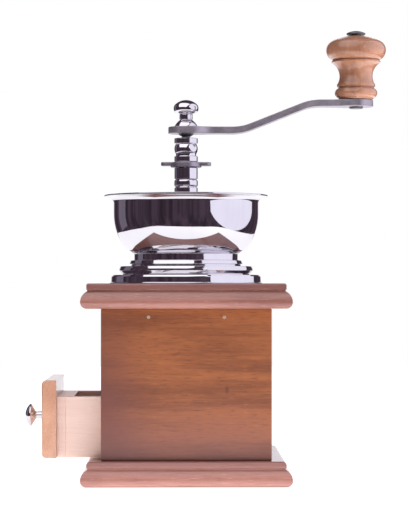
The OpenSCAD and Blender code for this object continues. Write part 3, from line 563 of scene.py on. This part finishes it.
throat = dict(r=27.5, below=2, above=20, steps=64)
throatRows = rodRows(throat["r"], zCase - throat["below"], zCase + throat["above"])
topShape = cutOut(boardShape(zCase, case["topStepEase"]), spinOutline(throatRows, throat["steps"]))
makePiece(topShape, "topBoard", boardBeech, "mill_body", ["top_board"])

sidePanels = ((-1, "sidePanelNear", "side_panel_near"), (1, "sidePanelFar", "side_panel_far"))
for side, name, node in sidePanels:
    ends = sorted((side * caseHalf, side * caseInner))
    panel = easedBox((-caseHalf, ends[0], zBase), (caseHalf, ends[1], zCase), case["sideEase"])
    makePiece(panel, name, stainedBeechWithPaintedShade, "mill_body", [node])
backShape = easedBox((caseInner, -caseInner, zBase), (caseHalf, caseInner, zCase), case["crossEase"])
makePiece(backShape, "backPanel", crossBeech, "mill_body", ["back_panel"])

opening = dict(half=34.5, top=52.5)
frontRows = [(-caseInner, zBase, 0), (-opening["half"], zBase, 0), (-opening["half"], opening["top"], 0),
             (opening["half"], opening["top"], 0), (opening["half"], zBase, 0), (caseInner, zBase, 0),
             (caseInner, zCase, 0), (-caseInner, zCase, 0)]
frontShape = raisedPlan(frontRows, 0, case["wall"], case["crossEase"])
# Stands the plan up: its x, y and height become Y, Z and X
standing = Matrix(((0, 0, 1, 0), (1, 0, 0, 0), (0, 1, 0, 0), (0, 0, 0, 1)))
turnTo(frontShape, Matrix.Translation((-caseHalf, 0, 0)) @ standing)
makePiece(frontShape, "frontPanel", crossBeech, "mill_body", ["front_panel"])

brad = dict(r=1.05, length=14, spread=45, drop=5, proud=0.3, ease=0.28, steps=24)
heads = []
for side in (-1, 1):
    for sx in (-1, 1):
        head = spinOutline(rodRows(brad["r"], -brad["length"], 0, brad["ease"]), brad["steps"])
        at = (sx * brad["spread"] / 2, side * (caseHalf + brad["proud"]), zCase - brad["drop"])
        facing = Matrix.Rotation(math.radians(-90 * side), 4, "X")
        heads.append(turnTo(head, Matrix.Translation(at) @ facing))
makePiece(joined(*heads), "bradHeads", lightBrass, "mill_body", ["brads"])
print("case made")


# Collar, hopper and column

collar = dict(steps=144, rows=[
    (30.3, 120, 0), (47.3, 120, 0.2), (47.3, 120.5, 0.2), (46.6, 120.7, 0.1), (46.4, 124.2, 0.2),
    (45.7, 125.3, 0.3), (39.4, 124.2, 0.2), (39.4, 125.9, 0.1), (40.2, 126, 0.1), (41.5, 127.9, 0.1),
    (41.4, 129.1, 0.2), (40.9, 130.6, 0.3), (34, 129.4, 0.2), (34, 131.7, 0.1), (35.3, 131.9, 0.2),
    (34.4, 134.4, 0.6), (32.2, 134, 0.3), (32.2, 138, 0), (22, 138, 0.2), (22, 135, 0), (30.3, 135, 0)])
collarShape = spinOutline(collar["rows"], collar["steps"], True)
makePiece(collarShape, "platedCollar", platedSteel, "mill_body", ["collar"])

bowl = dict(wall=45, rim=50.9, top=174.4, sheet=1, lip=4, rimEase=0.3, curveTop=163, foot=36.2, footZ=140,
            footEase=0.3, footArc=1, flat=33.1, flatEase=0.4, inset=0.6, insetEase=0.5, floor=138,
            throat=22, steps=160)


# One arc runs from the wall to the foot, inside and out
def bowlRows():
    wall, sheet, floor, top = bowl["wall"], bowl["sheet"], bowl["floor"], bowl["top"]
    drawIn, rise = wall - bowl["foot"], bowl["curveTop"] - bowl["footZ"]
    curve = (rise ** 2 + drawIn ** 2) / (2 * drawIn)
    lean = math.degrees(math.atan2(rise, curve - drawIn))
    middle = (wall - curve, bowl["curveTop"])
    outside = [(bowl["throat"], floor, 0), (bowl["flat"], floor, bowl["flatEase"]),
               (bowl["foot"], bowl["footZ"], bowl["footEase"]), (*middle, curve, bowl["footArc"] - lean, 0),
               (wall, top - sheet, bowl["lip"]), (bowl["rim"], top - sheet, bowl["rimEase"])]
    inside = [(bowl["rim"], top, bowl["rimEase"]), (wall - sheet, top, bowl["lip"] + sheet),
              (*middle, curve - sheet, 0, -lean),
              (bowl["flat"] - bowl["inset"], floor + sheet, bowl["insetEase"]),
              (bowl["throat"], floor + sheet, 0)]
    return outside + inside


bowlShape = spinOutline(bowlRows(), bowl["steps"], True)
makePiece(bowlShape, "platedBowl", platedSteel, "mill_body", ["hopper_bowl"])

column = dict(steps=96, rows=[
    (4.06, 134, 0), (6, 134, 0.4), (6, 142, 0), (9.5, 142, 0.3), (9.5, 145, 0.6), (7.25, 145, 0.6),
    (7.25, 179.1, 0.12), (6.5, 179.4, 0.1), (7.35, 180.2, 0.7), (7.35, 183.6, 0.7), (6.5, 184.4, 0.15),
    (7.25, 184.6, 0.1), (7.25, 191.4, 0.3), (4.06, 191.4, 0.2)])
columnShape = spinOutline(column["rows"], column["steps"], True)
makePiece(columnShape, "platedColumn", platedSteel, "mill_body", ["column"])

bridge = dict(reach=31, half=8, endEase=7.99, low=139, high=142, edgeEase=0.5)
strapRows = oblongRows(bridge["reach"], bridge["half"], bridge["endEase"])
strap = raisedPlan(strapRows, bridge["low"], bridge["high"], bridge["edgeEase"])
makePiece(strap, "throatBridge", brightSteel, "mill_body", ["bridge"])

bridgeScrew = dict(at=26.5, shankR=2, low=134, seat=142, headR=3.6, rim=0.6, crown=1.6, steps=40)
screwSlot = dict(half=0.45, reach=6, low=143.2, high=146, turn=35)
bridgeScrewRows = [(0, bridgeScrew["low"], 0), (bridgeScrew["shankR"], bridgeScrew["low"], 0),
                   (bridgeScrew["shankR"], bridgeScrew["seat"], 0),
                   *buttonRows(bridgeScrew["headR"], bridgeScrew["rim"], bridgeScrew["crown"],
                               bridgeScrew["seat"] + bridgeScrew["rim"])]
slotted = []
for sx in (-1, 1):
    head = spinOutline(bridgeScrewRows, bridgeScrew["steps"])
    groove = boxBetween((-screwSlot["reach"], -screwSlot["half"], screwSlot["low"]),
                        (screwSlot["reach"], screwSlot["half"], screwSlot["high"]))
    turnTo(groove, Matrix.Rotation(math.radians(screwSlot["turn"] * sx), 4, "Z"))
    slotted.append(turnTo(cutOut(head, groove), Matrix.Translation((sx * bridgeScrew["at"], 0, 0))))
makePiece(joined(*slotted), "bridgeScrewHeads", brightSteel, "mill_body", ["bridge_screws"])

# The spring's wire is swept up a coil. The coil is not attached to a body, so it neither turns with the
# shaft nor rises
wire = dict(coil=6.4, r=0.6, sides=10, low=124.7, rise=8.6, curls=4, perCurl=28)
wireSteps = wire["curls"] * wire["perCurl"]
coilShape = bmesh.new()
bmesh.ops.create_circle(coilShape, cap_ends=False, segments=wire["sides"], radius=wire["r"])
wireStart = Matrix.Translation((wire["coil"], 0, wire["low"]))
turnTo(coilShape, wireStart @ Matrix.Rotation(math.radians(90), 4, "X"))
bmesh.ops.spin(coilShape, geom=coilShape.verts[:] + coilShape.edges[:], cent=(0, 0, 0), axis=(0, 0, 1),
               dvec=(0, 0, wire["rise"] / wireSteps), angle=math.tau * wire["curls"], steps=wireSteps,
               use_merge=False)
bmesh.ops.holes_fill(coilShape, edges=[e for e in coilShape.edges if e.is_boundary], sides=0)
bmesh.ops.recalc_face_normals(coilShape, faces=coilShape.faces[:])
bmesh.ops.scale(coilShape, vec=(mm, mm, mm), verts=coilShape.verts[:])
for face in coilShape.faces:
    face.smooth = len(face.verts) == 4  # the two ends stay flat
springCoil = looseObject(coilShape, "springCoil")
springCoil.data.materials.append(brightSteel)
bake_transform(springCoil)
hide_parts("spring")
print("hopper and column made")


# Plate, nut, shaft, crank

plate = dict(boreR=4.06, discR=9.6, low=191.7, high=194.9, discEase=0.5, steps=72,
             wingReach=15.5, wingHalf=4.5, wingRound=3, wingLow=192.7, wingHigh=194.89, wingEase=0.45)
discRows = [(plate["boreR"], plate["low"], 0), (plate["discR"], plate["low"], plate["discEase"]),
            (plate["discR"], plate["high"], plate["discEase"]), (plate["boreR"], plate["high"], 0)]
disc = spinOutline(discRows, plate["steps"], True)
wingRows = oblongRows(plate["wingReach"], plate["wingHalf"], plate["wingRound"])
wings = raisedPlan(wingRows, plate["wingLow"], plate["wingHigh"], plate["wingEase"])
makePiece(joined(disc, wings), "lockPlate", brightSteel, "lock_plate", ["lock_plate"])

nut = dict(steps=96, rows=[
    (3.06, 195.2, 0), (7.3, 195.2, 0.35), (7.3, 198.6, 0.35), (6.35, 198.7, 0.1),
    (1.44, 203.3, 5.86, -33, 31), (6.4, 206.3, 0.05), (7.3, 206.4, 0.35), (7.3, 209.8, 0.35),
    (3.06, 209.8, 0)])
nutShape = spinOutline(nut["rows"], nut["steps"], True)
makePiece(nutShape, "adjustingNut", platedSteel, "adjuster", ["adjusting_nut"])

# The thread is a ridge (radius, height) that is swept up the shaft, 1 mm a turn
shaft = dict(steps=48, rows=[
    (0, 93, 0), (3, 93, 0.4), (3, 100, 0), (4, 100, 0.2), (4, 197.2, 0.3), (2.5, 197.4, 0.1),
    (2.5, 227.8, 0.3), (0, 228.4, 0)])
thread = dict(ridge=[(2.4, 197.5), (3, 197.95), (3, 198.05), (2.4, 198.5)], pitch=1, turns=15, perTurn=24)
threadShape = bmesh.new()
ridge = [threadShape.verts.new((r, 0, z)) for r, z in thread["ridge"]]
for a, b in zip(ridge, ridge[1:]):
    threadShape.edges.new((a, b))
bmesh.ops.spin(threadShape, geom=threadShape.verts[:] + threadShape.edges[:], cent=(0, 0, 0),
               axis=(0, 0, 1), dvec=(0, 0, thread["pitch"] / thread["perTurn"]),
               angle=math.tau * thread["turns"], steps=thread["turns"] * thread["perTurn"], use_merge=False)
bmesh.ops.recalc_face_normals(threadShape, faces=threadShape.faces[:])
shaftShape = joined(spinOutline(shaft["rows"], shaft["steps"]), threadShape)
makePiece(shaftShape, "threadedShaft", brightSteel, "spindle", ["shaft"])

spacer = dict(steps=48, rows=[
    (3.05, 211.2, 0), (3.6, 211.2, 0.2), (4.7, 212.2, 0.3), (4.7, 212.6, 0.1), (3.05, 212.6, 0)])
spacerShape = spinOutline(spacer["rows"], spacer["steps"], True)
makePiece(spacerShape, "armSpacer", darkSteel, "spindle", ["arm_spacer"])

# Each eye has a shoulder and a neck, measured from its middle
crank = dict(thick=4.1, barHalf=6, hub=11, hubShoulder=6.2, hubNeck=13.5, tip=10.6, tipShoulder=5.9,
             tipNeck=13, shoulderEase=3.5, neckEase=4.5, edgeEase=0.3, reach=105.4, low=212.6, rise=16.8,
             slope=21.6, bend=30, bendAt=28.6, steps=12)


# A flat bar is cut across at each step of its two bends, and turned there
def crankShape():
    lean = math.radians(crank["slope"])
    mid = crank["bend"] + crank["thick"] / 2
    bendRun = mid * lean
    slopeRun = (crank["rise"] - 2 * mid * (1 - math.cos(lean))) / math.sin(lean)
    secondAt = crank["bendAt"] + bendRun + slopeRun
    bentReach = 2 * mid * math.sin(lean) + slopeRun * math.cos(lean)
    flatTip = secondAt + bendRun + crank["reach"] - crank["bendAt"] - bentReach
    hub, tip, bar = crank["hub"], crank["tip"], crank["barHalf"]
    fullRound = 0.01  # a round end stops this far short of its half circle
    rows = mirroredRows([
        (-hub, hub, hub - fullRound), (crank["hubShoulder"], hub, crank["shoulderEase"]),
        (crank["hubNeck"], bar, crank["neckEase"]), (flatTip - crank["tipNeck"], bar, crank["neckEase"]),
        (flatTip - crank["tipShoulder"], tip, crank["shoulderEase"]),
        (flatTip + tip, tip, tip - fullRound)])
    bm = raisedPlan(rows, 0, crank["thick"], crank["edgeEase"])
    stations = [(start + (i + 0.5) * bendRun / crank["steps"], sign * lean / crank["steps"])
                for start, sign in ((crank["bendAt"], -1), (secondAt, 1)) for i in range(crank["steps"])]
    for cutAt in [at for at, turn in stations]:
        bmesh.ops.bisect_plane(bm, geom=bm.verts[:] + bm.edges[:] + bm.faces[:], dist=fineness["cut"],
                               plane_co=(cutAt, 0, 0), plane_no=(1, 0, 0))
    flat = {v: v.co.x for v in bm.verts}
    pivot = Vector((0, 0, crank["thick"] / 2))
    last, heading = 0.0, 0.0
    for at, turn in stations:
        pivot = pivot + (at - last) * Vector((math.cos(heading), 0, math.sin(heading)))
        last = at
        heading -= turn
        beyond = [v for v, x in flat.items() if x > at + fineness["near"]]
        bmesh.ops.rotate(bm, cent=pivot, matrix=Matrix.Rotation(turn, 3, "Y"), verts=beyond)
    bmesh.ops.translate(bm, vec=(0, 0, crank["low"]), verts=bm.verts[:])
    return bm


makePiece(crankShape(), "crankArm", brightSteel, "spindle", ["crank_arm"])

finial = dict(steps=96, rows=[
    (0, 216.7, 0), (7.3, 216.7, 0.2), (-0.98, 213.7, 8.9, 21, 56), (3.9, 221.3, 0.1), (4.15, 221.6, 0.1),
    (4.1, 224.3, 0.2), *buttonRows(7.8, 3.8, 5.3, 228.4)])
finialShape = spinOutline(finial["rows"], finial["steps"])
makePiece(finialShape, "crankFinial", platedSteel, "spindle", ["finial"])

bolt = dict(steps=64, rows=[
    (0, 228.2, 0), (4.2, 228.2, 0.6), (4.2, 229.4, 0.1), (3, 229.4, 0), (3, 274.1, 0),
    *buttonRows(5.9, 0.6, 1.8, 274.7)])
boltShape = turnTo(spinOutline(bolt["rows"], bolt["steps"]), Matrix.Translation((crank["reach"], 0, 0)))
makePiece(boltShape, "knobBolt", darkSteel, "spindle", ["knob_bolt"])

knob = dict(low=233.8, steps=112, rows=[
    (3.06, 0, 0), (10.5, 0, 0.4), (9.9, 4.1, 3.3, -70, 70), (11, 7.6, 0.15), (11.9, 7.9, 0.25),
    (19.8, 14.7, 9.5, 213.7, 119), (15.2, 23.9, 0.3), (14.2, 24.3, 0.15), (11.7, 30.8, 6.9, -62, 0),
    (12.4, 30.8, 6.2, 0, 63.7), (0, 5.72, 34.2, 63.7, 84.87)])
knobShape = spinOutline(knob["rows"], knob["steps"], True)
turnTo(knobShape, Matrix.Translation((crank["reach"], 0, knob["low"])))
makePiece(knobShape, "turnedKnob", knobBeech, "crank_knob", ["knob"])
print("crank made")


# Drawer

drawer = dict(face=-77.7, out=-86.6, faceHalf=40, low=15.5, faceTop=62, faceRound=3, faceSteps=7,
              faceEase=0.35, boxHalf=34, boxTop=52, end=9.7, side=5, front=10, lap=5, sideEase=0.35,
              endEase=0.3, groove=2.5, floorLow=18.5, floorTop=21.5, floorEase=0.2)
boxLow, boxTop, boxEnd, groove = drawer["low"], drawer["boxTop"], drawer["end"], drawer["groove"]
faceShape = boxBetween((drawer["out"], -drawer["faceHalf"], boxLow),
                       (drawer["face"], drawer["faceHalf"], drawer["faceTop"]))
outerLimit = drawer["out"] + fineness["near"]
outerLoop = [e for e in faceShape.edges if max(v.co.x for v in e.verts) < outerLimit]
easeEdges(faceShape, outerLoop, drawer["faceRound"], drawer["faceSteps"])
easeEdges(faceShape, sharpEdges(faceShape), drawer["faceEase"])
makePiece(faceShape, "drawerFace", faceBeech, "drawer", ["drawer_face"])

backX = drawer["face"] + drawer["front"]
lapX = backX - drawer["lap"]
boxHalf = drawer["boxHalf"]
inHalf = boxHalf - drawer["side"]
boxFrontRows = mirroredRows([(drawer["face"], -boxHalf, 0), (lapX, -boxHalf, 0), (lapX, -inHalf, 0),
                             (backX, -inHalf, 0)])
boxFront = raisedPlan(boxFrontRows, boxLow, boxTop, drawer["endEase"])
makePiece(boxFront, "drawerInnerFront", paleBeech, "drawer", ["drawer_front"])
drawerSides = ((-1, "drawerSideNear", "drawer_side_near"), (1, "drawerSideFar", "drawer_side_far"))
for side, name, node in drawerSides:
    ends = sorted((side * boxHalf, side * inHalf))
    boxSide = easedBox((lapX, ends[0], boxLow), (boxEnd, ends[1], boxTop), drawer["sideEase"])
    makePiece(boxSide, name, paleBeech, "drawer", [node])
boxBack = easedBox((boxEnd - drawer["side"], -inHalf, boxLow), (boxEnd, inHalf, boxTop), drawer["endEase"])
makePiece(boxBack, "drawerBack", paleBeech, "drawer", ["drawer_back"])
boxFloor = easedBox((backX - groove, -inHalf - groove, drawer["floorLow"]),
                    (boxEnd - groove, inHalf + groove, drawer["floorTop"]), drawer["floorEase"])
makePiece(boxFloor, "drawerFloor", paleBeech, "drawer", ["drawer_floor"])

pull = dict(height=38.75, steps=80, rows=[
    (0, 0, 0), (3.2, 0, 0), (2.3, 1, 0.4), (2.1, 6, 0.5), (6.2, 8.4, 0.3),
    *buttonRows(7, 0.9, 3.36, 9.24, -40)])
pullAt = Matrix.Translation((drawer["out"], 0, pull["height"]))
pullTurn = Matrix.Rotation(math.radians(-90), 4, "Y")
pullShape = turnTo(spinOutline(pull["rows"], pull["steps"]), pullAt @ pullTurn)
makePiece(pullShape, "drawerPull", platedSteel, "drawer", ["drawer_pull"])
print("drawer made")


# Nodes that keep their own shape

def dress(names, material):
    for name in names:
        mesh = nodes[name].data
        mesh.materials.clear()
        mesh.materials.append(material)


dress(["top_battens", "drawer_guides"], paleBeech)
dress(["base_screws", "mill_screws", "column_nut", "cone_washer", "cone_nut", "pull_screw"], brightSteel)
dress(["burr_ring", "grinding_cone"], greyIron)
print("inner nodes dressed")


# Studio: from here on, sizes are in metres, but for the floor's plan and its height

# The floor glows, a little less near the mill
paper = dict(colour=(0.22, 0.22, 0.23), rough=0.6, glowColour=(0.97, 0.96, 1), glow=(0.86, 1.0),
             glowReach=(0.08, 0.3), seenGlow=0.12, low=-0.2, rows=[
                 (0, -347, 150), (300, -240, 100), (346, -60, 100), (413, 265, 100), (600, 1600, 0),
                 (-600, 1600, 0), (-510, 640, 100), (-430, 60, 100), (-310, -260, 100)])
floorShape = flatPlan(paper["rows"], paper["low"])
bmesh.ops.scale(floorShape, vec=(mm, mm, mm), verts=floorShape.verts[:])
paleFloor = looseObject(floorShape, "paleFloor")
floorMaterial, floorTree, floorShader = startMaterial("paleSheet")
floorShader.inputs["Base Color"].default_value = (*paper["colour"], 1)
floorShader.inputs["Roughness"].default_value = paper["rough"]
floorShader.inputs["Emission Color"].default_value = (*paper["glowColour"], 1)
floorCoords = floorTree.nodes.new("ShaderNodeTexCoord")
floorReach = lengthNode(floorTree, floorCoords.outputs["Object"])
floorGlow = rangeNode(floorTree, floorReach, paper["glowReach"], paper["glow"])
floorPath = floorTree.nodes.new("ShaderNodeLightPath")
floorSeen = mathNode(floorTree, "MULTIPLY", floorPath.outputs["Is Camera Ray"], paper["seenGlow"])
floorStrength = mathNode(floorTree, "ADD", floorGlow, floorSeen)
floorTree.links.new(floorStrength, floorShader.inputs["Emission Strength"])
paleFloor.data.materials.append(floorMaterial)

# Metal mirrors a dark streaked room with a bright back wall, and the backdrop is white
room = dict(dark=(0.03, 0.02, 0.03), light=(0.075, 0.05, 0.072), streaks=(7, 7, 0.8), streakDetail=3.0,
            streakRange=(0.3, 0.7), wall=(1, 0.98, 1.03), wallAt=(0, 0.985, 0.17), wallRange=(0.92, 0.96),
            backdrop=(1, 1, 1))
world = bpy.data.worlds.new("studio")
bpy.context.scene.world = world
world.use_nodes = True
sky = world.node_tree
sky.nodes.clear()
skyCoords = sky.nodes.new("ShaderNodeTexCoord")
skyStreaks = sky.nodes.new("ShaderNodeMapping")
skyStreaks.inputs["Scale"].default_value = room["streaks"]
sky.links.new(skyCoords.outputs["Generated"], skyStreaks.inputs["Vector"])
streakNoise = noiseNode(sky, skyStreaks.outputs["Vector"], 1.0, room["streakDetail"])
streakShare = rangeNode(sky, streakNoise, room["streakRange"], (0.0, 1.0))
roomTone = overlay(sky, streakShare, room["dark"], room["light"])
skyAhead = sky.nodes.new("ShaderNodeVectorMath")
skyAhead.operation = "DOT_PRODUCT"
skyAhead.inputs[1].default_value = room["wallAt"]
sky.links.new(skyCoords.outputs["Generated"], skyAhead.inputs[0])
wallShare = rangeNode(sky, skyAhead.outputs["Value"], room["wallRange"], (0.0, 1.0))
mirrored = sky.nodes.new("ShaderNodeBackground")
sky.links.new(overlay(sky, wallShare, roomTone, room["wall"]), mirrored.inputs["Color"])
backdrop = sky.nodes.new("ShaderNodeBackground")
backdrop.inputs["Color"].default_value = (*room["backdrop"], 1)
skyPath = sky.nodes.new("ShaderNodeLightPath")
either = sky.nodes.new("ShaderNodeMixShader")
skyOut = sky.nodes.new("ShaderNodeOutputWorld")
sky.links.new(skyPath.outputs["Is Camera Ray"], either.inputs["Fac"])
sky.links.new(mirrored.outputs[0], either.inputs[1])
sky.links.new(backdrop.outputs[0], either.inputs[2])
sky.links.new(either.outputs[0], skyOut.inputs["Surface"])

# A softbox is mirrored where it is shown, and lights dull surfaces where it is lit.
# Its glow is the brightness of its face
softboxes = [
    dict(name="boxRight", at=(0.64, -0.2, 0.605), aim=(0, -0.2, 0.605), size=(1.52, 1.52), glow=0.95,
         colour=(0.95, 0.94, 1.08), shape="ELLIPSE"),
    dict(name="boxRightFront", at=(0.645, -1.04, 0.62), aim=(0, -1.04, 0.62), size=(0.26, 0.62), glow=0.95,
         colour=(0.95, 0.94, 1.08)),
    dict(name="boxRightFill", at=(0.62, -0.28, 0.36), aim=(0, 0, 0.16), size=(0.6, 0.6), glow=1.3,
         colour=(1, 0.98, 0.96), shown=False),
    dict(name="boxLeft", at=(-0.306, -0.489, 1.11), aim=(0.047, 0.0755, 0.364), size=(1.65, 1.8), glow=1.2,
         colour=(1, 0.99, 1.02), lit=False),
    dict(name="stripLeft", at=(-0.66, 0.38, 0.3), aim=(0, 0, 0.16), size=(0.3, 0.7), glow=0.14,
         colour=(0.85, 0.8, 1)),
    dict(name="sheetGlow", at=(0, 0.25, -0.0001), aim=(0, 0.25, 1), size=(0.84, 1.2), glow=1.85,
         colour=(1, 0.97, 0.94), shown=False),
    dict(name="topFill", at=(-0.1, -0.15, 1.3), aim=(-0.1, -0.15, 0), size=(1.2, 1.2), glow=2.1,
         colour=(1, 0.98, 0.97), shown=False),
    dict(name="fillLeft", at=(-0.7, -0.2, 0.35), aim=(0.1, 0, 0.25), size=(0.6, 0.6), glow=0.8,
         colour=(1, 0.96, 0.94), shown=False)]


def addSoftbox(name, at, aim, size, glow, colour, shown=True, lit=True, shape="RECTANGLE"):
    data = bpy.data.lights.new(name, "AREA")
    data.shape = shape
    data.size, data.size_y = size
    area = size[0] * size[1] * (math.pi / 4 if shape == "ELLIPSE" else 1)
    data.energy = glow * math.pi * area
    data.color = colour
    lamp = bpy.data.objects.new(name, data)
    bpy.context.scene.collection.objects.link(lamp)
    lamp.location = at
    lamp.rotation_euler = (Vector(aim) - Vector(at)).to_track_quat("-Z", "Y").to_euler()
    lamp.visible_camera = False
    lamp.visible_glossy = shown
    lamp.visible_diffuse = lit


for box in softboxes:
    addSoftbox(**box)

view = dict(sensor=36, lens=139.7, clipEnd=20, at=(-0.0055, -1.22, 0.1209), turn=(90.81, 0, -0.78))
camera = bpy.data.cameras.new("photoCamera")
camera.sensor_width = view["sensor"]
camera.lens = view["lens"]
camera.clip_end = view["clipEnd"]
eye = bpy.data.objects.new("photoCamera", camera)
bpy.context.scene.collection.objects.link(eye)
eye.location = view["at"]
eye.rotation_euler = [math.radians(a) for a in view["turn"]]
bpy.context.scene.camera = eye
bpy.context.scene.view_settings.view_transform = "Standard"
bpy.context.scene.view_settings.look = "None"
print("studio made")
